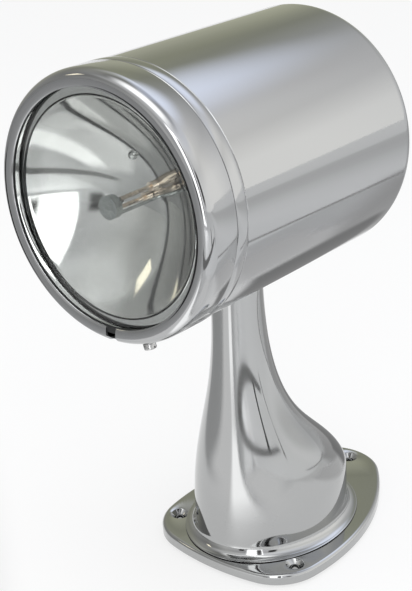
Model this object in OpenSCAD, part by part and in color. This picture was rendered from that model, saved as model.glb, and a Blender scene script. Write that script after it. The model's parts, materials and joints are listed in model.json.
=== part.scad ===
// Remote-control searchlight on a chromed deck pedestal.
// Millimetres, +Z up. The origin is on the pan axis at the underside of the deck gasket.
// The head faces -Y. It pans about Z on the pedestal's neck and tilts about X inside the shell.

/* [Deck flange] */
// Thickness of the deck gasket
gasket_t = 1.5; // [0.8:0.1:3]
// Distance of the gasket's edge inside the flange's edge
gasket_inset = 3; // [1:0.1:5]
// Thickness of the flange
flange_t = 6.5; // [5:0.1:10]
// Radius of the flange's upper edge
flange_edge_r = 2; // [1:0.1:4.5]
// Chamfer of the flange's lower edge
flange_foot_r = 0.8; // [0.2:0.1:1.5]
// Distance of each front corner's centre from the middle plane
corner_x = 22; // [18:0.5:36]
// Distance of the front corners' centres ahead of the pan axis
corner_front = 0; // [0:0.5:10]
// Distance of the rear corner's centre behind the pan axis
corner_rear = 83; // [78:0.5:100]
// Radius of the front corners
corner_front_r = 29; // [25:0.5:34]
// Radius of the rear corner
corner_rear_r = 27.5; // [22:0.5:32]
// Radius of the bowed sides
side_r = 132; // [110:1:300]
// Distance of each front deck hole from the middle plane
hole_x = 40.5; // [39:0.25:43]
// Distance of the front deck holes ahead of the pan axis
hole_front = 8; // [4:0.25:12]
// Distance of the rear deck hole behind the pan axis
hole_rear = 100.5; // [97:0.25:103]
// Diameter of the deck holes
hole_d = 5.5; // [4:0.1:6.5]
// Diameter of the deck holes' countersinks
sink_d = 10; // [8:0.1:12]
// Diameter of the cable hole in the flange
cable_hole_d = 26; // [18:0.5:34]
// Diameter of the bore in the cable grommet
grommet_bore = 12; // [6:0.5:16]
// Width of the grommet's lips beyond the cable hole
grommet_lip = 2; // [1:0.1:3]

/* [Pedestal] */
// Radius of the neck
neck_r = 13.5; // [12.5:0.1:16]
// Wall thickness of the casting
wall = 4.5; // [3:0.1:6]
// Half width of the foot
foot_half_w = 38; // [34:0.5:40]
// Reach of the foot ahead of the pan axis
foot_front = 23.5; // [19:0.5:24.5]
// Reach of the foot behind the pan axis
foot_rear = 74; // [64:0.5:78]
// Distance of the foot's widest place behind the pan axis
foot_widest = 24; // [14:0.5:32]
// Height above the flange where the flare starts
flare_top = 157; // [145:1:160]
// Height above the flange where the sides stop widening
flare_side_end = 20; // [10:1:40]
// Height above the flange where the back stops widening
flare_rear_end = 27; // [15:1:45]
// Width of the hollow cove around the foot
cove_w = 5.8; // [4:0.1:7]
// Height of the cove around the foot
cove_h = 7; // [4:0.1:10]
// Height of the foot's edge below the cove
foot_edge = 0.8; // [0.5:0.1:1.5]
// Diameter of the screws that hold the flange to the pedestal
foot_screw_d = 5; // [4:0.5:6]
// Depth of those screws in the pedestal's bosses
foot_screw_grip = 12; // [8:0.5:16]

/* [Pan drive] */
// Outside diameter of the hollow pan spindle
spindle_d = 16; // [14:0.1:17]
// Bore of the pan spindle
spindle_bore = 12; // [8:0.1:12.5]
// Wall of the two neck bushes
bush_wall = 2; // [1.5:0.1:2.2]
// Length of each neck bush
bush_len = 12; // [8:0.5:16]
// Distance between the two neck bushes
bush_gap = 26; // [18:0.5:30]
// Radial running clearance of the spindle
spindle_clear = 0.05; // [0.02:0.01:0.1]
// Height of the pan gear
pan_gear_h = 5; // [4:0.1:7]
// Teeth of the fixed pan gear
pan_teeth = 32; // [30:1:34]
// Teeth of both drive pinions
pinion_teeth = 12; // [11:1:14]
// Thickness of the thrust washer
washer_t = 1; // [0.6:0.1:2]

/* [Yoke] */
// Distance from the top of the neck up to the tilt axis
turret_drop = 48; // [46:0.5:50]
// Clear width between the yoke's arms
yoke_inner = 54; // [50:0.5:56]
// Thickness of the yoke's sheet metal
yoke_t = 2.5; // [2:0.1:3]
// Width of the yoke's arms
arm_w = 18; // [14:0.5:22]
// Depth of the yoke's floor along the head
floor_w = 36; // [32:0.5:38]
// Diameter of the tilt pins
pin_d = 6; // [4:0.1:7]
// Radial running clearance of the tilt pins
pin_clear = 0.05; // [0.02:0.01:0.1]
// Tilt range up and down from level
tilt_max = 20; // [10:1:22]

/* [Tilt drive] */
// Teeth of a full turn of the tilt sector
sector_teeth = 64; // [60:1:66]
// Thickness of the tilt sector
sector_t = 4; // [3:0.1:5]
// Direction of the tilt pinion, up from the rear
pinion_angle = 45; // [38:1:50]
// Angle of the sector beyond the tilt range at each end
sector_spare = 14; // [12:1:16]
// Clear distance between the yoke's port arm and the sector
sector_gap = 4.5; // [4:0.1:6]
// Pitch diameter of the fixed pan gear, which sets the size of all gear teeth
pan_gear_d = 32; // [29:0.1:33.5]
// Backlash of each gear pair
backlash = 0.3; // [0.2:0.01:0.4]
// Pressure angle of the teeth
pressure_angle = 25; // [23:0.5:27]

/* [Motors] */
// Diameter of the pan gearbox
pan_box_d = 24; // [20:0.5:25]
// Height of the pan gearbox
pan_box_h = 18; // [12:0.5:20]
// Height of the pan motor above its gearbox
pan_can_h = 22; // [16:0.5:24]
// Diameter of the tilt gearbox
tilt_box_d = 20; // [18:0.5:22]
// Length of the tilt gearbox
tilt_box_l = 16; // [12:0.5:18]
// Length of the tilt motor behind its gearbox
tilt_can_l = 22; // [16:0.5:24]
// Distance of each motor can's wall inside its gearbox's
can_step = 1; // [0.5:0.1:2]
// Diameter of the drive shafts
shaft_d = 4; // [3:0.1:5]

/* [Head shell] */
// Height of the tilt axis above the deck
head_z = 224; // [215:0.5:240]
// Length of the head from the bezel's face to the rear wall
head_len = 160; // [150:0.5:180]
// Distance from the bezel's face back to the pan axis
head_front = 94; // [90:0.5:105]
// Radial distance from the lamp's edge to the shell's outside
shell_margin = 6.35; // [6:0.05:9]
// Thickness of the shell's sheet metal
shell_t = 0.8; // [0.6:0.05:1.2]
// Outside radius of the shell's rear corner
rear_r = 10; // [4:0.5:14]
// Height of the rolled bead
bead_h = 0.5; // [0.3:0.05:1]
// Width of the rolled bead
bead_w = 7; // [5:0.1:9]
// Clearance of the neck in the slot under the shell
slot_clear = 2; // [1.5:0.1:4]

/* [Bezel] */
// Depth of the bezel's band
bezel_depth = 18.6; // [16:0.1:22]
// Thickness of the bezel
bezel_t = 1; // [0.8:0.05:1.3]
// Height of the bezel's band above the shell
bezel_proud = 0.5; // [0.2:0.05:1]
// Outside radius of the bezel's front corner
bezel_round = 5; // [3.5:0.1:6]
// Gap between the bezel's rear edge and the bead
bezel_gap = 0.6; // [0.3:0.1:1]
// Width of the bezel's hold on the lamp's edge
bezel_hold = 1.15; // [0.8:0.05:2]
// Width of the notch in the bezel's face at the bottom
notch_w = 6; // [3:0.5:8]
// Depth of that notch along the head
notch_depth = 5; // [3:0.5:8]
// Clearance between the bezel and the shell's collar
bezel_clear = 0.3; // [0.15:0.05:0.5]
// Place of the bezel's screw around the head, down from the port side
screw_angle = 73; // [65:1:80]
// Distance of the bezel's screw behind the bezel's face
screw_back = 7.6; // [7:0.1:9]
// Diameter of the bezel's screw
bezel_screw_d = 3; // [2.5:0.1:3.5]
// Height of that screw's head
bezel_head_h = 3.4; // [2:0.1:4]

/* [Lamp] */
// Diameter of the sealed-beam lamp
lamp_d = 114.3; // [110:0.1:120]
// Thickness of the lamp's gasket
lamp_gasket_t = 1.5; // [1:0.1:2.5]
// Thickness of the gasket's skirt
lamp_skirt_t = 1.6; // [1.2:0.1:2]
// Depth of the lens rim
lens_rim = 4.8; // [4.5:0.1:7]
// Thickness of the lens
lens_t = 3.2; // [2.5:0.1:4]
// Rise of the lens at its middle
lens_crown = 2.4; // [1:0.1:2.6]
// Width of the glass rim where lens and reflector are fused
fused_w = 5; // [4:0.1:7]
// Depth of the reflector's rim
reflector_rim = 4.5; // [3.5:0.1:6]
// Distance of the filament, at the bowl's focus, behind the bowl's mouth
filament_in = 8.2; // [7:0.1:10]
// Thickness of the reflector's glass
bowl_t = 3; // [2.5:0.1:3.5]
// Thickness of the seat ring behind the lamp
seat_t = 2; // [1.2:0.1:3]
// Depth of the seat ring's skirt
seat_skirt = 8; // [5:0.5:12]
// Turn of the lamp's posts in its seat, up from the port side
lamp_turn = 55; // [0:1:90]
// Distance of each filament post from the lamp's axis
post_x = 3.6; // [3.3:0.1:5]
// Diameter of the filament posts
post_d = 2; // [1.4:0.1:2.4]
// Diameter of the ferrules at the posts' feet
ferrule_d = 4.4; // [3.4:0.1:5]
// Height of the ferrules
ferrule_h = 4; // [2:0.1:6]
// Diameter of the filament's coil
coil_d = 2; // [1.4:0.1:2.4]
// Diameter of the glare shield
shield_d = 11; // [9:0.5:13]
// Diameter of the sealed exhaust tip in the reflector
tip_d = 4; // [3:0.1:5]
// Length of the lamp's terminals
terminal_l = 12; // [8:0.5:14]
// Width of the lamp's terminals
terminal_w = 8; // [5:0.5:10]

/* [Hidden] */
$fn = 64;
// Gap between pieces of one body that seat on each other round a curve
seat_gap = 0.1;
// Clearance of a screw or shaft in its hole, on the radius
hole_clear = 0.2;
// Clearance of a threaded or pressed piece, on the radius
press_clear = 0.03;
// Overlap of a cut beyond the faces it cuts
cut = 1;

// Height of a pan head screw's head as a part of its diameter
head_rise = 0.6;
// Diameter of a pan head screw's head as a part of its diameter
head_spread = 2;

// Flange and pedestal
flange_top = gasket_t + flange_t;
neck_top = head_z - turret_drop;
neck_h = neck_top - flange_top;
corner_steps = 12;
side_steps = 8;
edge_steps = 4;
skin_sides = 40;
skin_wall_rings = 20;
skin_bore_rings = 10;
cove_steps = 6;
// Share of the back's flare that starts gently at the neck; the rest is the late shoulder
flare_lead = 0.55;
side_power = 2;
rear_power = 5;
bush_r = spindle_d/2 + spindle_clear + bush_wall;
bore_r = bush_r + press_clear;
lower_bush_z = neck_top - 2*bush_len - bush_gap;
clip_t = 1.2;
clip_wall = 1.4;
clip_z = lower_bush_z - clip_t - hole_clear;
spindle_tail = 3;
spindle_foot = clip_z - spindle_tail;
bore_foot = spindle_foot - 2;
spindle_lip = 5;
spigot_r = (bore_r + neck_r)/2 + 0.3;
boss_r = foot_screw_d/2 + 2.5;
boss_h = foot_screw_grip + 4;
boss_in = wall + 1;
foot_head_r = foot_screw_d*0.9;
foot_head_h = foot_screw_d*0.5;

// Gears
gear_module = pan_gear_d/pan_teeth;
full_turn = 360;
tooth_add = 0.8;
tooth_ded = 1.05;
flank_steps = 4;
centre_spare = 0.08;
pan_pitch_r = pan_gear_d/2;
pinion_pitch_r = gear_module*pinion_teeth/2;
sector_pitch_r = gear_module*sector_teeth/2;
pan_centre = pan_pitch_r + pinion_pitch_r + centre_spare;
tilt_centre = sector_pitch_r + pinion_pitch_r + centre_spare;
pinion_tip_r = pinion_pitch_r + tooth_add*gear_module;

// Yoke and tilt drive, measured from the tilt axis in Y and Z
floor_z = neck_top + washer_t;
floor_top = floor_z + yoke_t;
floor_drop = head_z - floor_z;
arm_x = yoke_inner/2;
arm_out = arm_x + yoke_t;
sector_x = arm_out + sector_gap;
bracket_x = sector_x + sector_t;
bracket_t = 2;
bracket_w = 28;
pin_r = pin_d/2;
pin_shoulder_r = pin_r + 2;
pin_head_r = pin_r + 1.5;
pin_head_t = 1.5;
eye_r = max(arm_w/2 + 1, pin_head_r + 2);
tilt_bush_wall = 1.5;
tilt_bush_r = pin_r + pin_clear + tilt_bush_wall;
tilt_flange_t = 1;
tilt_flange_r = tilt_bush_r + 1.5;
pin_end = bracket_x + bracket_t + tilt_flange_t + 2.2;
hub_bore_r = tilt_flange_r + 0.6;
hub_screw_d = 2.5;
hub_edge = 1.5;
hub_screw_r = hub_bore_r + hub_edge + hub_screw_d/2;
hub_r = hub_screw_r + hub_edge + hub_screw_d/2;
motor_y = tilt_centre*cos(pinion_angle);
motor_z = tilt_centre*sin(pinion_angle);
ear_r = tilt_box_d/2 + 1;
motor_screw_d = 2.5;
pan_screw_r = pan_box_d/2 - motor_screw_d;
tilt_screw_r = tilt_box_d/2 - motor_screw_d;
motor_screw_grip = 4;
pinion_gap = 0.7;
shaft_grip = 6;
pan_pad_r = pan_box_d/2 + 1.5;
block_size = [8, 16, 10];
block_drop = 24;

// Shell and bezel, measured forward of the pan axis along the head
lamp_r = lamp_d/2;
shell_r = lamp_r + shell_margin;
shell_ri = shell_r - shell_t;
shell_rear = head_front - head_len;
bezel_r = shell_r + bezel_proud;
bezel_ri = bezel_r - bezel_t;
collar_r = bezel_ri - bezel_clear;
collar_ri = collar_r - shell_t;
bezel_rear = head_front - bezel_depth;
bead_front = bezel_rear - bezel_gap;
bead_rear = bead_front - bead_w;
lip_back = head_front - bezel_t;
lip_ri = lamp_r - bezel_hold;
collar_front = head_front - bezel_round;
slot_half_w = neck_r + slot_clear;
slot_half_l = neck_r/cos(tilt_max) + shell_r*tan(tilt_max) + slot_clear;
screw_s = head_front - screw_back;
screw_r = bezel_screw_d/2;

// Lamp, measured forward of the pan axis along the head
rim_front = lip_back - lamp_gasket_t;
rim_back = rim_front - lens_rim;
bowl_rim_back = rim_back - reflector_rim;
mouth_r = lamp_r - fused_w;
focus_s = rim_back - filament_in;
bowl_focus = (sqrt(filament_in*filament_in + mouth_r*mouth_r) - filament_in)/2;
bowl_vertex = focus_s - bowl_focus;
bowl_steps = 20;
lens_ball = (lip_ri*lip_ri + lens_crown*lens_crown)/(2*lens_crown);
lens_centre = rim_front + lens_crown - lens_ball;
lens_facets = 1440;
skirt_r = min(lamp_r + seat_gap + lamp_skirt_t, bezel_r - bezel_round - seat_gap);
seat_ri = lamp_r - 3.4;
// Clearance between the seat ring and the back of the bowl
bowl_clear = 0.5;
// Clearance between the filament and the back of its shield
shield_clear = 3;
shield_back = focus_s + coil_d/2 + shield_clear;
shield_rim = 4;
shield_t = 1;
stem_r = 0.8;
terminal_x = post_x + 3;
// Place of the exhaust tip across the lamp, and its height above the mirror
tip_at = [-8, 16];
tip_h = 1.6;

chrome = [0.80, 0.81, 0.82];
steel = [0.62, 0.64, 0.66];
bronze = [0.70, 0.52, 0.28];
rubber = [0.10, 0.10, 0.11];
nylon = [0.90, 0.88, 0.80];

// Places along the head: local Z is forward, local Y is up
module on_head() {
  translate([0, 0, head_z]) rotate([90, 0, 0]) children();
}

// Plates across the head: local X is rearward, local Y is up, local Z is to port
module across(x) {
  translate([x, 0, head_z]) rotate([90, 0, 90]) children();
}

module ring(outer, inner, h) {
  difference() {
    cylinder(r = outer, h = h);
    translate([0, 0, -cut]) cylinder(r = inner, h = h + 2*cut);
  }
}

// Pan head screw along local Z: its head stands above zero, its shank hangs below
module pan_screw(d, shank) {
  cylinder(r = d*head_spread/2, h = d*head_rise);
  translate([0, 0, -shank]) cylinder(r = d/2, h = shank + d*head_rise/2);
}

// Involute gear outlines
function involute(a) = tan(a)*180/PI - a;
function gear_outline(teeth) =
  let (
    pitch = gear_module*teeth/2,
    base = pitch*cos(pressure_angle),
    root = pitch - tooth_ded*gear_module,
    tip = pitch + tooth_add*gear_module,
    start = max(base, root),
    half = (PI*gear_module/2 - backlash/2)/2/pitch*180/PI + involute(pressure_angle),
    flank = [for (i = [0:flank_steps])
      let (r = start + (tip - start)*i/flank_steps) [r, half - involute(acos(min(1, base/r)))]],
    side = root < base ? concat([[root, half]], flank) : flank,
    last = len(side) - 1
  )
  [for (t = [0:teeth - 1], k = [-last - 1:last])
    let (
      p = k < 0 ? side[k + last + 1] : side[last - k],
      a = t*360/teeth + (k < 0 ? -p[1] : p[1])
    )
    [p[0]*cos(a), p[0]*sin(a)]];

// Flange outline: three corner arcs joined by bowed sides, as [x, y, outward direction]
flange_corners = [
  [corner_x, -corner_front, corner_front_r],
  [0, corner_rear, corner_rear_r],
  [-corner_x, -corner_front, corner_front_r]
];
function heading(v) = atan2(v[1], v[0]);
function turn_on(from, to) = from + (to - from + 2*full_turn) % full_turn;
function side_centre(p, q) =
  let (
    d = norm([q[0] - p[0], q[1] - p[1]]),
    e = [(q[0] - p[0])/d, (q[1] - p[1])/d],
    a = side_r - p[2],
    b = side_r - q[2],
    u = (a*a - b*b + d*d)/(2*d),
    h = sqrt(a*a - u*u)
  )
  [p[0] + u*e[0] - h*e[1], p[1] + u*e[1] + h*e[0]];
function side_turn(i) =
  let (
    p = flange_corners[i % 3],
    q = flange_corners[(i + 1) % 3],
    c = side_centre(p, q),
    a = heading([p[0] - c[0], p[1] - c[1]])
  )
  [c, a, turn_on(a, heading([q[0] - c[0], q[1] - c[1]]))];
flange_outline = [for (i = [0:2])
  let (
    s = side_turn(i),
    q = flange_corners[(i + 1) % 3],
    next = turn_on(s[2], side_turn(i + 1)[1])
  )
  each concat(
    [for (k = [0:side_steps - 1])
      let (a = s[1] + (s[2] - s[1])*k/side_steps)
      [s[0][0] + side_r*cos(a), s[0][1] + side_r*sin(a), a]],
    [for (k = [0:corner_steps - 1])
      let (a = s[2] + (next - s[2])*k/corner_steps)
      [q[0] + q[2]*cos(a), q[1] + q[2]*sin(a), a]]
  )];
function outline_ring(inset) = [for (p = flange_outline) [p[0] - inset*cos(p[2]), p[1] - inset*sin(p[2])]];

// Triangles between rings of n points each, closed round
function ring_faces(n, rows) = [for (r = [0:rows - 1], k = [0:n - 1])
  let (a = r*n + k, b = r*n + (k + 1) % n)
  each [[a, b + n, b], [a, a + n, b + n]]];

module deck_holes(d, z0, h) {
  for (p = [[hole_x, -hole_front], [-hole_x, -hole_front], [0, hole_rear]])
    translate([p[0], p[1], z0]) cylinder(r = d/2, h = h);
}

foot_bosses = [
  [foot_half_w - boss_in - boss_r/2, foot_widest],
  [-foot_half_w + boss_in + boss_r/2, foot_widest],
  [0, foot_rear - boss_in - boss_r/2]
];

module deck_gasket() {
  color(rubber) difference() {
    linear_extrude(gasket_t) polygon(outline_ring(gasket_inset));
    deck_holes(hole_d, -cut, gasket_t + 2*cut);
    translate([0, 0, -cut]) cylinder(r = cable_hole_d/2 + grommet_lip + hole_clear, h = gasket_t + 2*cut);
    for (p = foot_bosses)
      translate([p[0], p[1], -cut]) cylinder(r = foot_head_r + hole_clear, h = gasket_t + 2*cut);
  }
}

module flange_skin() {
  edge = [for (k = [0:edge_steps])
    let (a = 90*k/edge_steps)
    [flange_edge_r*(1 - cos(a)), flange_top - flange_edge_r*(1 - sin(a))]];
  rows = concat([[flange_foot_r, gasket_t], [0, gasket_t + flange_foot_r]], edge);
  n = len(flange_outline);
  points = [for (r = rows) for (p = outline_ring(r[0])) [p[0], p[1], r[1]]];
  bottom = [for (k = [0:n - 1]) k];
  top = [for (k = [n - 1:-1:0]) (len(rows) - 1)*n + k];
  polyhedron(points, concat([bottom, top], ring_faces(n, len(rows) - 1)), convexity = 4);
}

module base_flange() {
  sink_h = (sink_d - hole_d)/2;
  color(chrome) difference() {
    flange_skin();
    deck_holes(hole_d, gasket_t - cut, flange_t + 2*cut);
    for (p = [[hole_x, -hole_front], [-hole_x, -hole_front], [0, hole_rear]])
      translate([p[0], p[1], flange_top - sink_h])
        cylinder(r1 = hole_d/2, r2 = sink_d/2 + cut, h = sink_h + cut);
    translate([0, 0, gasket_t - cut]) cylinder(r = cable_hole_d/2, h = flange_t + 2*cut);
    for (p = foot_bosses) translate([p[0], p[1], gasket_t - cut]) {
      cylinder(r = foot_screw_d/2 + hole_clear, h = flange_t + 2*cut);
      cylinder(r = foot_head_r + hole_clear, h = foot_head_h + cut);
    }
  }
}

// Pedestal sections: two half ellipses that grow from the round neck down to the foot
function flare(h, end) = min(1, max(0, (flare_top - h)/(flare_top - end)));
function ease(t) = t*t*(3 - 2*t);
function side_grow(h) = pow(ease(flare(h, flare_side_end)), side_power);
function rear_grow(h) =
  let (t = flare(h, flare_rear_end))
  flare_lead*t*t + (1 - flare_lead)*pow(ease(t), rear_power);
function section(h, out) =
  let (
    g = side_grow(h),
    b = rear_grow(h),
    mid = foot_widest*b,
    w = neck_r + (foot_half_w - neck_r)*g + out,
    f = neck_r + (foot_front - neck_r)*g + out + mid,
    r = neck_r + (foot_rear - neck_r)*b + out - mid
  )
  [for (k = [0:skin_sides - 1])
    let (a = 360*k/skin_sides)
    [w*cos(a), mid + (sin(a) < 0 ? f : r)*sin(a), flange_top + h]];

module pedestal_skin() {
  cove_rows = [for (k = [0:cove_steps])
    let (a = 90*k/cove_steps)
    section(foot_edge + (cove_h - foot_edge)*(1 - cos(a)), cove_w*(1 - sin(a)))];
  wall_rows = [for (k = [1:skin_wall_rings])
    let (h = cove_h + (neck_h - cove_h)*k/skin_wall_rings)
    section(h, 0)];
  bore_rows = [for (k = [skin_bore_rings:-1:0])
    section(neck_h*k/skin_bore_rings, -wall)];
  rows = concat([section(0, cove_w)], cove_rows, wall_rows, bore_rows);
  n = skin_sides;
  total = len(rows)*n;
  faces = [for (f = ring_faces(n, len(rows))) [f[0] % total, f[1] % total, f[2] % total]];
  polyhedron([for (r = rows) each r], faces, convexity = 8);
}

module pedestal() {
  color(chrome) difference() {
    union() {
      pedestal_skin();
      for (p = foot_bosses)
        translate([p[0], p[1], flange_top]) cylinder(r = boss_r, h = boss_h);
    }
    translate([0, 0, bore_foot]) cylinder(r = bore_r, h = neck_top - bore_foot + cut);
    translate([0, 0, neck_top - pan_gear_h]) ring(neck_r + cut, spigot_r, pan_gear_h + cut);
    for (p = foot_bosses)
      translate([p[0], p[1], flange_top - cut])
        cylinder(r = foot_screw_d/2 + press_clear, h = foot_screw_grip + cut + hole_clear);
  }
}

module flange_screws() {
  color(steel) for (p = foot_bosses) translate([p[0], p[1], gasket_t]) {
    cylinder(r = foot_head_r, h = foot_head_h);
    cylinder(r = foot_screw_d/2, h = flange_t + foot_screw_grip);
  }
}

module cable_grommet() {
  lip_r = cable_hole_d/2 + grommet_lip;
  color(rubber) difference() {
    union() {
      translate([0, 0, 0]) cylinder(r = lip_r, h = gasket_t);
      cylinder(r = cable_hole_d/2 - press_clear, h = flange_top + grommet_lip);
      translate([0, 0, flange_top]) cylinder(r = lip_r, h = grommet_lip);
    }
    translate([0, 0, -cut]) cylinder(r = grommet_bore/2, h = flange_top + grommet_lip + 2*cut);
  }
}

module neck_bush(z) {
  color(bronze) translate([0, 0, z]) ring(bush_r, spindle_d/2 + spindle_clear, bush_len);
}
module lower_neck_bush() { neck_bush(lower_bush_z); }
module upper_neck_bush() { neck_bush(neck_top - bush_len); }

module pan_gear() {
  color(bronze) translate([0, 0, neck_top - pan_gear_h]) difference() {
    linear_extrude(pan_gear_h) rotate(90) polygon(gear_outline(pan_teeth));
    translate([0, 0, -cut]) cylinder(r = spigot_r + press_clear, h = pan_gear_h + 2*cut);
  }
}

module thrust_washer() {
  color(nylon) translate([0, 0, neck_top]) ring(neck_r, spindle_d/2 + hole_clear, washer_t);
}

module arm_outline() {
  circle(r = eye_r);
  translate([-arm_w/2, -floor_drop]) square([arm_w, floor_drop]);
}

module motor_ear() {
  translate([motor_y, motor_z]) circle(r = ear_r);
  rotate(pinion_angle) translate([0, -arm_w/2]) square([tilt_centre, arm_w]);
}

module tilt_screw_places() {
  for (a = [90, 270])
    translate([motor_y, motor_z]) rotate(pinion_angle + a) translate([tilt_screw_r, 0]) children();
}

module pan_screw_places() {
  for (a = [35, 145])
    translate([pan_screw_r*cos(a), pan_centre + pan_screw_r*sin(a)]) children();
}

module yoke() {
  color(steel) {
    difference() {
      union() {
        translate([-arm_out, -floor_w/2, floor_z]) cube([2*arm_out, floor_w, yoke_t]);
        translate([0, pan_centre, floor_z]) cylinder(r = pan_pad_r, h = yoke_t);
        across(arm_x) linear_extrude(yoke_t) {
          arm_outline();
          motor_ear();
        }
        across(-arm_out) linear_extrude(yoke_t) arm_outline();
      }
      translate([0, 0, floor_z - cut]) cylinder(r = spindle_d/2 + press_clear, h = yoke_t + 2*cut);
      translate([0, pan_centre, floor_z - cut]) cylinder(r = shaft_d/2 + hole_clear, h = yoke_t + 2*cut);
      translate([0, 0, floor_z - cut]) pan_screw_places()
        cylinder(r = motor_screw_d/2 + hole_clear, h = yoke_t + 2*cut);
      across(-arm_out - cut) cylinder(r = pin_r + press_clear, h = 2*arm_out + 2*cut);
      across(arm_x - cut) {
        translate([motor_y, motor_z]) cylinder(r = shaft_d/2 + hole_clear, h = yoke_t + 2*cut);
        tilt_screw_places() cylinder(r = motor_screw_d/2 + hole_clear, h = yoke_t + 2*cut);
      }
    }
  }
}

module pan_spindle() {
  flange_r = spindle_d/2 + spindle_lip;
  flange_h = 2;
  motor_gap = 0.5;
  lip_r = min(flange_r, pan_centre - pan_box_d/2 - motor_gap);
  color(steel) difference() {
    union() {
      translate([0, 0, spindle_foot]) cylinder(r = spindle_d/2, h = floor_top - spindle_foot + flange_h/2);
      translate([0, 0, floor_top]) cylinder(r = lip_r, h = flange_h);
    }
    translate([0, 0, spindle_foot - cut])
      cylinder(r = spindle_bore/2, h = floor_top - spindle_foot + 2*cut + flange_h);
    translate([0, 0, clip_z - hole_clear/2])
      ring(spindle_d/2 + cut, spindle_d/2 - clip_wall/2, clip_t + hole_clear);
  }
}

module spindle_clip() {
  inner = spindle_d/2 - clip_wall/2 + press_clear;
  color(steel) translate([0, 0, clip_z]) difference() {
    ring(spindle_d/2 + clip_wall, inner, clip_t);
    translate([-spindle_d/4, 0, -cut]) cube([spindle_d/2, spindle_d, clip_t + 2*cut]);
  }
}

module pan_motor() {
  can_r = pan_box_d/2 - can_step;
  color(steel) translate([0, pan_centre, floor_top]) difference() {
    union() {
      cylinder(r = pan_box_d/2, h = pan_box_h);
      cylinder(r = can_r, h = pan_box_h + pan_can_h);
      cylinder(r = shaft_d, h = pan_box_h + pan_can_h + 2);
    }
    translate([0, 0, -cut]) cylinder(r = shaft_d/2 + pin_clear, h = shaft_grip + cut + hole_clear);
    translate([0, -pan_centre, -cut]) pan_screw_places()
      cylinder(r = motor_screw_d/2 + press_clear, h = motor_screw_grip + cut + hole_clear);
  }
}

module tilt_motor() {
  can_r = tilt_box_d/2 - can_step;
  color(steel) difference() {
    union() {
      across(arm_x - tilt_box_l) translate([motor_y, motor_z]) cylinder(r = tilt_box_d/2, h = tilt_box_l);
      across(arm_x - tilt_box_l - tilt_can_l) translate([motor_y, motor_z])
        cylinder(r = can_r, h = tilt_can_l + cut);
      across(arm_x - tilt_box_l - tilt_can_l - 2) translate([motor_y, motor_z])
        cylinder(r = shaft_d, h = 2 + cut);
    }
    across(arm_x - shaft_grip - hole_clear) translate([motor_y, motor_z])
      cylinder(r = shaft_d/2 + pin_clear, h = shaft_grip + cut);
    across(arm_x - motor_screw_grip - hole_clear) tilt_screw_places()
      cylinder(r = motor_screw_d/2 + press_clear, h = motor_screw_grip + cut);
  }
}

module motor_screws() {
  color(steel) {
    translate([0, 0, floor_z]) pan_screw_places()
      mirror([0, 0, 1]) pan_screw(motor_screw_d, yoke_t + motor_screw_grip);
    across(arm_out) tilt_screw_places() pan_screw(motor_screw_d, yoke_t + motor_screw_grip);
  }
}

module terminal_block() {
  screw_r = 1.6;
  color(nylon) translate([-arm_x, -block_size[1]/2, head_z - block_drop]) difference() {
    cube(block_size);
    for (k = [0:2])
      translate([block_size[0] - 3, block_size[1]*(2*k + 1)/6, block_size[2]/2])
        rotate([0, 90, 0]) cylinder(r = screw_r, h = 3 + cut);
  }
}

module tilt_pin() {
  shoulder_end = bracket_x - tilt_flange_t - hole_clear;
  across(arm_x - pin_head_t) cylinder(r = pin_head_r, h = pin_head_t);
  across(arm_x - pin_head_t) cylinder(r = pin_r, h = pin_end - arm_x + pin_head_t);
  across(arm_out) cylinder(r = pin_shoulder_r, h = shoulder_end - arm_out);
}

module tilt_pins() {
  color(steel) {
    tilt_pin();
    mirror([1, 0, 0]) tilt_pin();
  }
}

module pin_clip() {
  clip_h = 0.8;
  across(bracket_x + bracket_t + hole_clear) ring(pin_r + 2, pin_r + press_clear, clip_h);
}

module pin_clips() {
  color(steel) {
    pin_clip();
    mirror([1, 0, 0]) pin_clip();
  }
}

module pan_pinion() {
  height = pan_gear_h - pinion_gap;
  color(bronze) translate([0, pan_centre, neck_top - pan_gear_h]) {
    linear_extrude(height) rotate(270 + 180/pinion_teeth) polygon(gear_outline(pinion_teeth));
    cylinder(r = shaft_d/2, h = floor_top - neck_top + pan_gear_h + shaft_grip);
  }
}

module tilt_pinion() {
  height = sector_t - pinion_gap;
  color(bronze) {
    across(sector_x) translate([motor_y, motor_z]) linear_extrude(height)
      rotate(pinion_angle + 180 + 180/pinion_teeth) polygon(gear_outline(pinion_teeth));
    across(arm_x - shaft_grip) translate([motor_y, motor_z])
      cylinder(r = shaft_d/2, h = sector_x + height - arm_x + shaft_grip);
  }
}

// Outline of the drawn can, from the axis out: rear wall, side, bead and front collar
module can_outline(inset) {
  r = shell_r - inset;
  corner = max(0.5, rear_r - inset);
  bead_r = shell_r + bead_h - inset;
  bead_round = bead_h*0.9;
  difference() {
    translate([0, shell_rear + inset]) square([r, bead_front - inset - shell_rear - inset]);
    translate([r - corner, shell_rear + inset]) difference() {
      translate([0, -cut]) square([corner + cut, corner + cut]);
      translate([0, corner]) circle(r = corner);
    }
  }
  difference() {
    translate([0, bead_rear + inset]) square([bead_r, bead_w - 2*inset]);
    for (s = [bead_rear + inset, bead_front - inset])
      translate([bead_r - bead_round, s]) difference() {
        translate([0, -bead_round]) square([bead_round + cut, 2*bead_round]);
        translate([0, s < bead_rear + bead_w/2 ? bead_round : -bead_round]) circle(r = bead_round);
      }
  }
  translate([0, bead_front - cut]) square([collar_r - inset, collar_front - bead_front + cut + inset*2]);
}

module slot_prism() {
  straight = slot_half_l - slot_half_w;
  linear_extrude(head_z) {
    translate([-slot_half_w, -straight]) square([2*slot_half_w, 2*straight]);
    for (y = [-straight, straight]) translate([0, y]) circle(r = slot_half_w);
  }
}

module at_bezel_screw(r) {
  on_head() rotate(-screw_angle) translate([r, 0, screw_s]) rotate([0, 90, 0]) children();
}

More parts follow.
